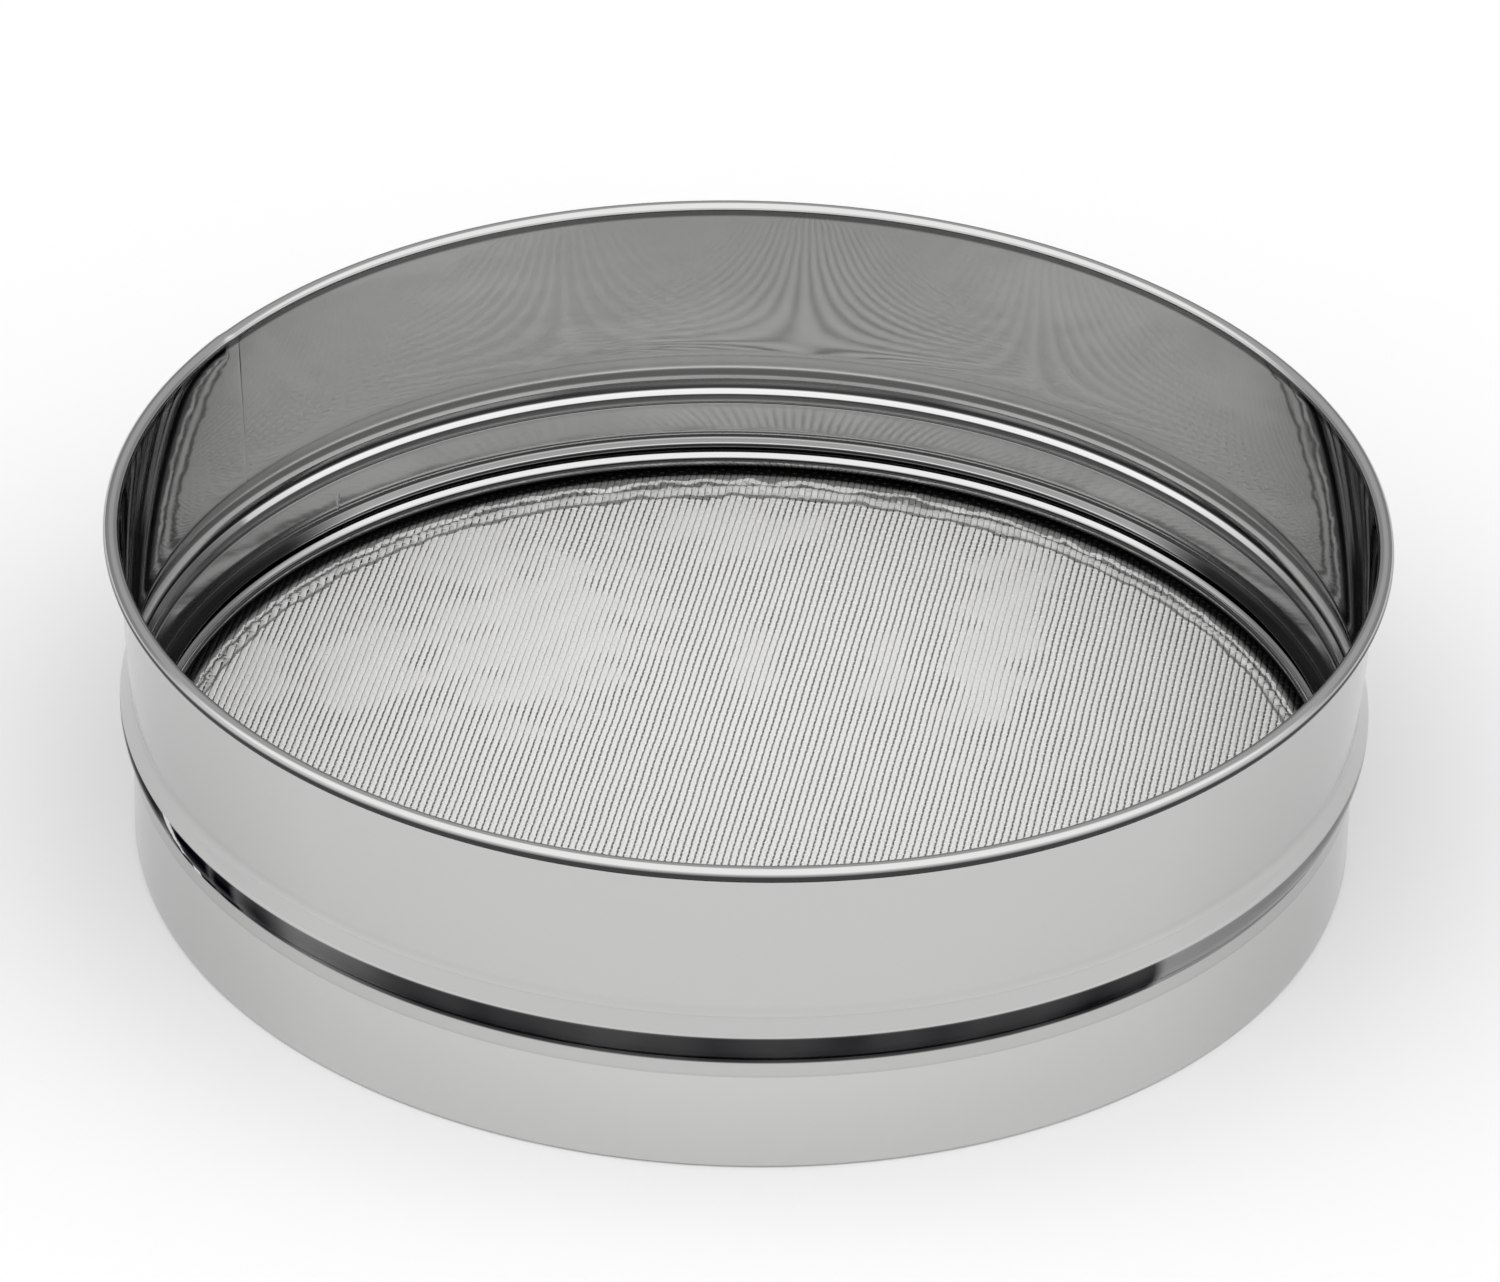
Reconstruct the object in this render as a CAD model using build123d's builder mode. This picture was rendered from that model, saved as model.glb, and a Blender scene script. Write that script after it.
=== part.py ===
from build123d import *
import os
from math import cos, hypot, radians, sin, tan

os.makedirs("parts", exist_ok=True)

# Tamis: a flat round sieve in a tall steel drum. Millimetres, +Z up,
# origin on the drum's axis at the height of the table that it stands on.

# The drum as a whole
rim_diameter = 300.0        # outside of the rolled rim
drum_height = 83.4          # table to the top of the rim
sheet = 0.6                 # one thickness of sheet for both hoops

# Upper hoop
rim_overhang = 6.0          # rim's outside beyond the skirt's, so that drums can stack
wall_overhang = 0.6         # foot of the plain wall beyond the skirt; it widens up to the rim
crest_overhang = 2.9        # raised band beyond the skirt
crest_height = 34.0         # where the shoulder's slope reaches the crest
crest_width = 3.6           # height of the crest before it turns back to the wall
crest_slope_height = 4.4    # height over which the crest turns back to the wall
shoulder_height = 3.9       # height of the slope from the crest down to the collar
band_bend = 5.8             # bend radius of the shoulder and of the crest
collar_depth = 5.0          # how far the hoop laps down over the skirt

# Rim wire and the curl that is rolled round it
curl_diameter = 3.8         # outside of the curl
curl_flat_turn = 45.0       # degrees from one flat of the curl to the next
curl_flats = 6
wire_side_count = 6
wire_clearance = 0.05       # wire to the flats round it

# Skirt hoop
lap_clearance = 0.05        # skirt to the collar that laps over it
skirt_rise = 2.6            # skirt inside the collar, from the collar's foot up
lip_depth = 2.2             # foot turned in under the lower clamp ring, from the skirt's outside

# Clamp rings and the cloth between them
ring_bulge = 4.4            # half-round bar: radius of its bulge
ring_flats = 4
ring_flange = 0.7           # flat edge between the bulge and the skirt
ring_clearance = 0.05       # ring and cloth to the skirt's inside
seat_clearance = 0.02       # each layer of the stack to the next
cloth_thickness = 0.8

# The cloth as a net. The real one is far finer, about 1.65 mm from wire to wire.
gaps_across = 15
net_wire = 1.5
net_margin = 2.0            # plain cloth between the net and the clamp rings
least_gap_share = 0.3       # a gap that the net's edge cuts down to less than this is left out
cloth_turn = -9.0           # degrees from the drum's own axes to the wires

# Radii of the sheet's faces
curl_radius = curl_diameter / 2
rim_middle = rim_diameter / 2 - curl_radius
rim_height = drum_height - curl_radius
neck_inside = rim_middle - curl_radius
skirt_radius = rim_diameter / 2 - rim_overhang
skirt_inside = skirt_radius - sheet
wall_inside = skirt_inside + wall_overhang
crest_inside = skirt_inside + crest_overhang
collar_inside = skirt_radius + lap_clearance

# Heights of the upper hoop's bends, from the collar up
collar_top = crest_height - shoulder_height
collar_foot = collar_top - collar_depth
crest_top = crest_height + crest_width
wall_foot = crest_top + crest_slope_height

# Heights of the stack inside the skirt, from the foot up
lower_ring_middle = sheet + seat_clearance + ring_bulge
cloth_foot = lower_ring_middle + ring_bulge + seat_clearance
cloth_top = cloth_foot + cloth_thickness
upper_ring_middle = cloth_top + seat_clearance + ring_bulge


# Each corner gives way to a flat between the two ends of an arc of the bend's radius
def bent(corners, bend):
    points = [Vector(*corners[0])]
    for before, corner, after in zip(corners, corners[1:], corners[2:]):
        here = Vector(*corner)
        back = (Vector(*before) - here).normalized()
        ahead = (Vector(*after) - here).normalized()
        reach = bend * tan(radians(180 - back.get_angle(ahead)) / 2)
        points += [here + back * reach, here + ahead * reach]
    return points + [Vector(*corners[-1])]


# Points round a circle, from one angle on in equal turns
def flats_round(radius, middle, height, start, turn, count):
    angles = [radians(start + turn * step) for step in range(count + 1)]
    return [Vector(middle + radius * cos(a), height + radius * sin(a)) for a in angles]


# Upper hoop: collar, shoulder, crest and plain wall in one sheet, which is rolled
# outward over the wire and back under it. Its line is the face on the bowl's side.
band_bends = bent(
    [
        (collar_inside, collar_foot),
        (collar_inside, collar_top),
        (crest_inside, crest_height),
        (crest_inside, crest_top),
        (wall_inside, wall_foot),
    ],
    band_bend,
)
curl = flats_round(curl_radius, rim_middle, rim_height, 180, -curl_flat_turn, curl_flats)

with BuildPart() as upper_hoop:
    with BuildSketch(Plane.XZ):
        with BuildLine():
            Polyline(*band_bends, *curl)
            offset(amount=sheet, kind=Kind.INTERSECTION, side=Side.RIGHT)
        make_face()
    revolve(axis=Axis.Z)
upper_hoop.part.label = "upper_hoop"
export_step(upper_hoop.part, "parts/upper_hoop.step")


# Rim wire: a closed ring that touches none of the curl's flats
wire_radius = curl_radius * cos(radians(curl_flat_turn / 2)) - sheet - wire_clearance

with BuildPart() as rim_wire:
    with BuildSketch(Plane.XZ):
        with Locations((rim_middle, rim_height)):
            RegularPolygon(wire_radius, wire_side_count)
    revolve(axis=Axis.Z)
rim_wire.part.label = "rim_wire"
export_step(rim_wire.part, "parts/rim_wire.step")


# Skirt hoop: a plain wall whose foot is turned in under the lower clamp ring
with BuildPart() as skirt_hoop:
    with BuildSketch(Plane.XZ):
        with BuildLine():
            Polyline(
                (skirt_radius - lip_depth, 0),
                (skirt_radius, 0),
                (skirt_radius, collar_foot + skirt_rise),
            )
            offset(amount=sheet, kind=Kind.INTERSECTION, side=Side.LEFT)
        make_face()
    revolve(axis=Axis.Z)
skirt_hoop.part.label = "skirt_hoop"
export_step(skirt_hoop.part, "parts/skirt_hoop.step")


# Clamp rings: two alike, half-round bars with their backs to the skirt
ring_back = skirt_inside - ring_clearance
ring_middle = ring_back - ring_flange


def clamp_ring(height):
    bulge = flats_round(ring_bulge, ring_middle, height, 90, 180 / ring_flats, ring_flats)
    with BuildPart() as ring:
        with BuildSketch(Plane.XZ):
            with BuildLine():
                Polyline(
                    *bulge,
                    (ring_back, height - ring_bulge),
                    (ring_back, height + ring_bulge),
                    close=True,
                )
            make_face()
        revolve(axis=Axis.Z)
    return ring.part


for ring_name, ring_height in (
    ("lower_clamp_ring", lower_ring_middle),
    ("upper_clamp_ring", upper_ring_middle),
):
    ring_part = clamp_ring(ring_height)
    ring_part.label = ring_name
    export_step(ring_part, f"parts/{ring_name}.step")


# Mesh cloth: a round of net, held at its edge between the two clamp rings
cloth_radius = ring_back
net_radius = ring_middle - ring_bulge - net_margin
gap_pitch = 2 * net_radius / gaps_across
gap = gap_pitch - net_wire


def gap_places():
    places = []
    for column in range(gaps_across):
        for row in range(gaps_across):
            x = (column + 1 / 2 - gaps_across / 2) * gap_pitch
            y = (row + 1 / 2 - gaps_across / 2) * gap_pitch
            if hypot(x, y) <= net_radius + (1 / 2 - least_gap_share) * gap:
                turn = radians(cloth_turn)
                places.append((x * cos(turn) - y * sin(turn), x * sin(turn) + y * cos(turn)))
    return places


with BuildSketch() as net_gaps:
    with Locations(*gap_places()):
        Rectangle(gap, gap, rotation=cloth_turn)
    Circle(net_radius, mode=Mode.INTERSECT)

with BuildPart() as mesh_cloth:
    with BuildSketch(Plane.XY.offset(cloth_foot)):
        Circle(cloth_radius)
        add(net_gaps.sketch, mode=Mode.SUBTRACT)
    extrude(amount=cloth_thickness)
mesh_cloth.part.label = "mesh_cloth"
export_step(mesh_cloth.part, "parts/mesh_cloth.step")

print("gaps in the net:", len(net_gaps.sketch.faces()))
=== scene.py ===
import math

import bpy
import numpy as np
from mathutils import Matrix, Vector


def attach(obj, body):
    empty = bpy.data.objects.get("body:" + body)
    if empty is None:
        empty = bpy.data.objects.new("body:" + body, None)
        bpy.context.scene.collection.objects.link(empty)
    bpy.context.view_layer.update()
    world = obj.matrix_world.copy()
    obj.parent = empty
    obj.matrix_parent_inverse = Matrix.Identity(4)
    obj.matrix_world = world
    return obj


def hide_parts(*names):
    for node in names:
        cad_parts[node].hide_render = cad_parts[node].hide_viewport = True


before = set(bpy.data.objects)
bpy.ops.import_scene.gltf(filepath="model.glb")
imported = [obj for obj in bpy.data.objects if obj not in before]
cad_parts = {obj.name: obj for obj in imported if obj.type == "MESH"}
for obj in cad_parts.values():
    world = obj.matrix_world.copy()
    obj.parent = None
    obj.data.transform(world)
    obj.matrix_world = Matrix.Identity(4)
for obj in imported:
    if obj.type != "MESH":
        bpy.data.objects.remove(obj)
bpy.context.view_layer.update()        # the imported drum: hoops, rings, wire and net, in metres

mm = 0.001
print("frame loaded:", sorted(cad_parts))


# Camera
photoCamera = {
    "place": (0.0, -1.5366, 1.0190),     # 1.8 m from the middle of the rim, 31 degrees above it
    "aim": (0.00095, -0.0149, 0.0571),
    "roll": 0.026697,                    # radians; the photograph's right side hangs a little low
    "lens": 185.67,
    "sensor": 36.0,
    "clip": (0.05, 50),                  # nearest and farthest, metres
}


def makeCamera(settings):
    # forward looks from the place to the aim; right is level, then turned by the roll
    place = Vector(settings["place"])
    forward = (Vector(settings["aim"]) - place).normalized()
    level = forward.cross(Vector((0, 0, 1))).normalized()
    upright = level.cross(forward).normalized()
    right = (math.cos(settings["roll"]) * level + math.sin(settings["roll"]) * upright).normalized()
    up = right.cross(forward).normalized()
    data = bpy.data.cameras.new("photo_camera")
    data.sensor_width = settings["sensor"]
    data.lens = settings["lens"]
    data.clip_start, data.clip_end = settings["clip"]
    camera = bpy.data.objects.new("photo_camera", data)
    turned = Matrix((right, up, -forward)).transposed().to_4x4()
    camera.matrix_world = Matrix.Translation(place) @ turned
    bpy.context.scene.collection.objects.link(camera)
    bpy.context.scene.camera = camera


makeCamera(photoCamera)
bpy.context.scene.view_settings.view_transform = "Standard"
print("camera placed")


# Small tools
def linearFromHex(text):
    # sRGB to linear: c / 12.92 below 0.04045, else ((c + 0.055) / 1.055) to the power 2.4
    parts = [int(text[i:i + 2], 16) / 255 for i in (1, 3, 5)]
    return tuple(c / 12.92 if c <= 0.04045 else ((c + 0.055) / 1.055) ** 2.4 for c in parts) + (1.0,)


def addNode(tree, kind, settings=None, links=None):
    # settings are the node's own properties, or its sockets' values; links are socket: source socket
    node = tree.nodes.new(kind)
    for key, value in (settings or {}).items():
        if isinstance(key, str) and hasattr(node, key):
            setattr(node, key, value)
        else:
            node.inputs[key].default_value = value
    for key, source in (links or {}).items():
        tree.links.new(source, node.inputs[key])
    return node


def addRamp(tree, source, table, low, high):
    # a grey level read from a table of (place, level), straight between its rows
    share = addNode(tree, "ShaderNodeMapRange", {"From Min": low, "From Max": high}, {"Value": source})
    ramp = addNode(tree, "ShaderNodeValToRGB", {}, {"Fac": share.outputs["Result"]})
    elements = ramp.color_ramp.elements
    while len(elements) < len(table):
        elements.new(1.0)
    for element, (value, level) in zip(elements, table):
        element.position = (value - low) / (high - low)
        element.color = (level, level, level, 1.0)
    return ramp.outputs["Color"]


def inMetres(table):
    # a table with its places turned from mm into metres
    return [(value * mm, level) for value, level in table]


def sideways(tree, place):
    # radius, the length of (x, y), and the square of x over it: 0 at the drum's back and 1 at its sides
    parts = addNode(tree, "ShaderNodeSeparateXYZ", {}, {"Vector": place})
    flat = addNode(tree, "ShaderNodeCombineXYZ", {}, {"X": parts.outputs["X"], "Y": parts.outputs["Y"]})
    length = addNode(tree, "ShaderNodeVectorMath", {"operation": "LENGTH"}, {0: flat.outputs["Vector"]})
    radius = length.outputs["Value"]
    ratio = addNode(tree, "ShaderNodeMath", {"operation": "DIVIDE"}, {0: parts.outputs["X"], 1: radius})
    side = addNode(tree, "ShaderNodeMath", {"operation": "MULTIPLY"}, {
        0: ratio.outputs[0], 1: ratio.outputs[0],
    })
    return radius, side.outputs[0]


def hazyRoughness(tree, place, settings):
    # the roughness, more or less its spread, by a slow noise
    haze = addNode(tree, "ShaderNodeTexNoise", {
        "Scale": settings["hazeScale"], "Detail": settings["hazeDetail"],
    }, {"Vector": place})
    roughness = addNode(tree, "ShaderNodeMapRange", {
        "To Min": settings["roughness"] - settings["roughnessSpread"],
        "To Max": settings["roughness"] + settings["roughnessSpread"],
    }, {"Value": haze.outputs["Fac"]})
    return roughness.outputs["Result"]


def newMaterial(name):
    material = bpy.data.materials.new(name)
    material.use_nodes = True
    material.node_tree.nodes.clear()
    return material, material.node_tree


def signedVolume(points, quads):
    # sum over the faces of (a . b x c) / 6, twice for a quad; positive when they look outwards
    a, b, c, d = (points[quads[:, k]] for k in range(4))
    firstHalf = np.einsum("ij,ij->i", a, np.cross(b, c))
    secondHalf = np.einsum("ij,ij->i", a, np.cross(c, d))
    return (firstHalf + secondHalf).sum() / 6


def meshPiece(name, points, quads, material, body, replaced, uv=None, attributes=None):
    # one mesh object from arrays of points and of four-sided faces, riding on its body
    if signedVolume(points, quads) < 0:
        quads = quads[:, ::-1]
        uv = None if uv is None else uv[:, ::-1]
    mesh = bpy.data.meshes.new(name)
    mesh.vertices.add(len(points))
    mesh.vertices.foreach_set("co", np.ascontiguousarray(points, dtype=np.float32).ravel())
    mesh.loops.add(quads.size)
    mesh.loops.foreach_set("vertex_index", np.ascontiguousarray(quads, dtype=np.int32).ravel())
    mesh.polygons.add(len(quads))
    mesh.polygons.foreach_set("loop_start", np.arange(0, quads.size, 4, dtype=np.int32))
    if uv is not None:
        layer = mesh.uv_layers.new(name="sheet")
        layer.data.foreach_set("uv", np.ascontiguousarray(uv, dtype=np.float32).ravel())
    for key, values in (attributes or {}).items():
        layer = mesh.attributes.new(key, "FLOAT", "POINT")
        layer.data.foreach_set("value", np.ascontiguousarray(values, dtype=np.float32).ravel())
    mesh.update(calc_edges=True)
    mesh.shade_smooth()
    mesh.materials.append(material)
    piece = bpy.data.objects.new(name, mesh)
    bpy.context.scene.collection.objects.link(piece)
    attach(piece, body)
    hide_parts(*replaced)
    return piece


# Profiles, in millimetres: radius from the drum's axis, and height
def roundedLine(corners, bends, arcStep=6.0, runStep=3.0, crisp=0.04):
    # straight runs joined by arcs: each corner gives way to an arc of its bend's radius;
    # the answer is the points and, at each, the unit normal to the left of the way along
    corners = np.array(corners, float)
    points, tangents, start = [], [], corners[0]
    for k in range(1, len(corners)):
        way = corners[k] - corners[k - 1]
        heading = math.atan2(way[1], way[0])
        direction = way / np.hypot(*way)
        if k < len(corners) - 1:
            onward = corners[k + 1] - corners[k]
            turn = (math.atan2(onward[1], onward[0]) - heading + math.pi) % (2 * math.pi) - math.pi
            reach = bends[k - 1] * math.tan(abs(turn) / 2)
        else:
            turn, reach = 0.0, 0.0
        end = corners[k] - direction * reach
        length = np.hypot(*(end - start))
        shares = np.linspace(0, 1, max(2, int(length / runStep) + 2))
        if k == 1:
            shares = np.insert(shares, 1, crisp / length)
        if k == len(corners) - 1:
            shares = np.insert(shares, -1, 1 - crisp / length)
        shares = shares if k == 1 else shares[1:]
        points.append(start + (end - start) * shares[:, None])
        tangents.append(np.full(len(shares), heading))
        if turn:
            sign = math.copysign(1, turn)
            left = np.array([-math.sin(heading), math.cos(heading)])
            centre = end + sign * bends[k - 1] * left
            steps = max(2, int(math.degrees(abs(turn)) / arcStep) + 1)
            angles = heading + turn * np.linspace(0, 1, steps + 1)[1:]
            lefts = np.stack([-np.sin(angles), np.cos(angles)], 1)
            points.append(centre - sign * bends[k - 1] * lefts)
            tangents.append(angles)
            start = points[-1][-1]
    points, tangents = np.concatenate(points), np.concatenate(tangents)
    return points, np.stack([-np.sin(tangents), np.cos(tangents)], 1)


def sheetLoop(points, lefts, thickness):
    # the line itself, then back along its right side, one thickness away
    loop = np.concatenate([points, (points - thickness * lefts)[::-1]])
    far = np.concatenate([np.zeros(len(points)), np.ones(len(points))])
    return loop, far


def turnAngles(count, seams, fine=0.06, width=1.2):
    # equal turns, with finer ones within the width, in degrees, of each seam
    angles = [np.arange(count) * 360 / count]
    for seam in seams:
        angles.append(np.arange(seam - width, seam + width, fine) % 360)
    angles = np.unique(np.round(np.concatenate(angles), 4))
    return np.radians(angles)


def turnedPiece(name, loop, angles, material, replaced, wobble=None, attributes=None):
    # turns a closed loop about the drum's axis: x = r cos a, y = r sin a, z = height
    rows, columns = len(angles), len(loop)
    angle = angles[:, None] + np.zeros(columns)
    radius = loop[:, 0] + np.zeros((rows, 1))
    height = loop[:, 1] + np.zeros((rows, 1))
    if wobble:
        radius, height = wobble(angle, radius, height)
    points = np.stack([radius * np.cos(angle), radius * np.sin(angle), height], 2).reshape(-1, 3) * mm
    i, j = np.meshgrid(np.arange(rows), np.arange(columns), indexing="ij")
    i, j = i.ravel(), j.ravel()
    after, beside = (i + 1) % rows, (j + 1) % columns
    quads = np.stack([
        i * columns + j, after * columns + j, after * columns + beside, i * columns + beside,
    ], 1)
    # the sheet's own map: how far round and how far along the section, in metres
    mean = loop[:, 0].mean() * mm
    around = np.append(angles, angles[0] + 2 * math.pi) * mean
    closed = np.vstack([loop, loop[:1]])
    along = np.append(0, np.cumsum(np.hypot(*np.diff(closed, axis=0).T))) * mm
    uv = np.stack([
        np.stack([around[i], along[j]], 1), np.stack([around[i + 1], along[j]], 1),
        np.stack([around[i + 1], along[j + 1]], 1), np.stack([around[i], along[j + 1]], 1),
    ], 1)
    spread = {key: np.broadcast_to(row, (rows, columns)) for key, row in (attributes or {}).items()}
    return meshPiece(name, points, quads, material, "root", replaced, uv, spread)


def slowWaves(seed, count, lengths):
    # wave numbers and phases for a sum of sines whose wavelengths lie between two lengths
    draw = np.random.default_rng(seed)
    heading = draw.uniform(0, 2 * math.pi, count)
    number = 2 * math.pi / draw.uniform(lengths[0], lengths[1], count)
    return number * np.cos(heading), number * np.sin(heading), draw.uniform(0, 2 * math.pi, count)


def waveSum(waves, x, y):
    # mean of sin(kx x + ky y + phase) over the waves
    total = np.zeros(np.broadcast(x, y).shape)
    for kx, ky, phase in zip(*waves):
        total += np.sin(kx * x + ky * y + phase)
    return total / len(waves[0])


def rise(value, start, end):
    # 0 at the start, 1 at the end, straight between them and level beyond
    return np.clip((value - start) / (end - start), 0, 1)


def weldShare(s, angle):
    # 1 on the weld and 0 beside it: exp of less the square of distance over width
    fromSeam = (angle - math.radians(s["seam"])) * s["seamRadius"]
    return np.exp(-(fromSeam / s["weldWidth"]) ** 2)


# Materials
hoopFinish = {
    "steel": "#dadad9",          # bare and clean; most of the sheet is darkened by a film and by painted shade
    "outerRoughness": 0.13,      # satin on the outside
    # on the bowl's side, by height in mm: soft below, satin behind the crest, a mirror on the wall
    "innerRoughness": [(20.5, 0.15), (22.0, 0.1), (26.5, 0.1), (28.5, 0.13), (31.0, 0.09), (36.6, 0.09),
                       (37.2, 0.34), (41.0, 0.34), (43.0, 0.04)],
    "roughnessSpread": 0.3,      # share by which either one varies
    "hazeScale": 22.0,           # changes to a metre
    "grainWidth": 0.25,          # rolling grain, mm across; the real one is nearer 0.02
    "grainLength": 14.0,
    "grainDepth": 0.0012,
    "filmAndPaintedShade": "#2b2a2c",          # a film over the sheet, and painted shade in the bends, the step and the groove
    "ramp": (15.0, 90.0),        # heights in mm that the tables by height run over
    # height in mm and darkness, on the outside: a painted shadow line at the collar's foot, the collar,
    # the painted dark band (a painted dark reflection) in the step under the crest, the wall with a
    # little painted shade over its foot; and the darkness over which it is the step
    "outside": [(24.9, 0.15), (25.1, 0.32), (25.5, 0.32), (25.7, 0.265), (28.85, 0.265), (29.1, 1),
                (36.95, 1), (37.2, 0.22), (40.9, 0.22), (41.3, 0.25), (43.6, 0.25), (44.4, 0.22)],
    "stepOver": 0.4,
    # painted shade on the outside at the drum's two sides, by the square of x over the radius
    "sideShade": 0.15, "sideFrom": 0.42, "sideTo": 0.9,
    # on the bowl's side, film and painted shade: below the shoulder; painted light and dark reflection
    # lines in the groove and at its edge; painted shade up the wall and under the rim
    "inside": [(19.0, 0.05), (20.2, 0.05), (20.6, 0.42), (26.4, 0.42), (28.5, 0.62), (28.8, 0.86),
               (29.6, 0.88), (30.0, 0.96), (30.1, 0.14), (31.18, 0.08), (31.3, 0.99), (31.7, 0.98),
               (32.0, 0.93), (32.4, 0.74), (32.65, 0.2), (34.4, 0.3), (34.65, 0.82), (36.35, 0.8),
               (36.55, 0.0), (40.6, 0.0), (41.4, 0.3), (42.3, 0.48), (47.0, 0.47), (78.0, 0.44),
               (80.2, 0.42), (80.5, 0.84), (81.7, 0.84), (82.0, 0.2)],
    # painted shade on the outer half of the rim's roll, under its highlight, and the radius in mm that
    # it starts at
    "roll": [(79.5, 0.96), (82.0, 0.96), (82.2, 0.2)], "rollFrom": 148.05,
    # painted shade over the shoulder's bright bend, and where it dulls it, left of the weld, by degrees
    # from +X plus 180
    "shoulder": [(30.05, 0), (30.15, 0.6), (31.15, 0.6), (31.25, 0)],
    "dull": [(0, 1), (40, 1), (60, 0), (327.7, 0), (328.3, 1)],
    # how much of the step's painted shade holds, by the same degrees: patchy past the pinch, fading to
    # grey on the right
    "step": [(0, 0.85), (18.0, 0.97), (22.0, 0.97), (25.0, 0.85), (27.0, 0.8), (29.5, 0.95), (30.6, 1),
             (34.6, 1), (35.2, 0.84), (35.9, 1), (38.9, 1), (39.8, 0.72), (41.0, 0.97), (44.0, 0.95),
             (47.0, 0.82), (50.7, 0.86), (60, 1), (129.8, 1), (130.4, 0.68), (165, 0.62), (230, 0.4),
             (300, 0.6), (350, 0.7)],
    # small lighter patches in it, painted reflections: how many to a metre, the noise that they lie
    # between, and what they leave
    "patchScale": 30.0, "patchFrom": 0.35, "patchTo": 0.62, "patchLeast": 0.95,
    # the pinch in the step: a painted highlight along a crease that slants down from one bearing and
    # height to the next;
    # its width and its soft edge, mm
    "creaseBearings": (27.0, 30.6), "creaseHeights": (36.2, 30.2), "creaseWidth": 2.4, "creaseEdge": 0.2,
    # what is left of the glancing sheen: on the outside where the painted shade is thick, by its
    # darkness, so that the painted band stays dark at a glance; and in the bowl above a height in mm
    "glance": "#a6a6a7", "thickFrom": 0.62, "thickTo": 0.98, "bowlGlance": "#d3d3d4", "bowlFoot": 31.0,
}


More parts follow.
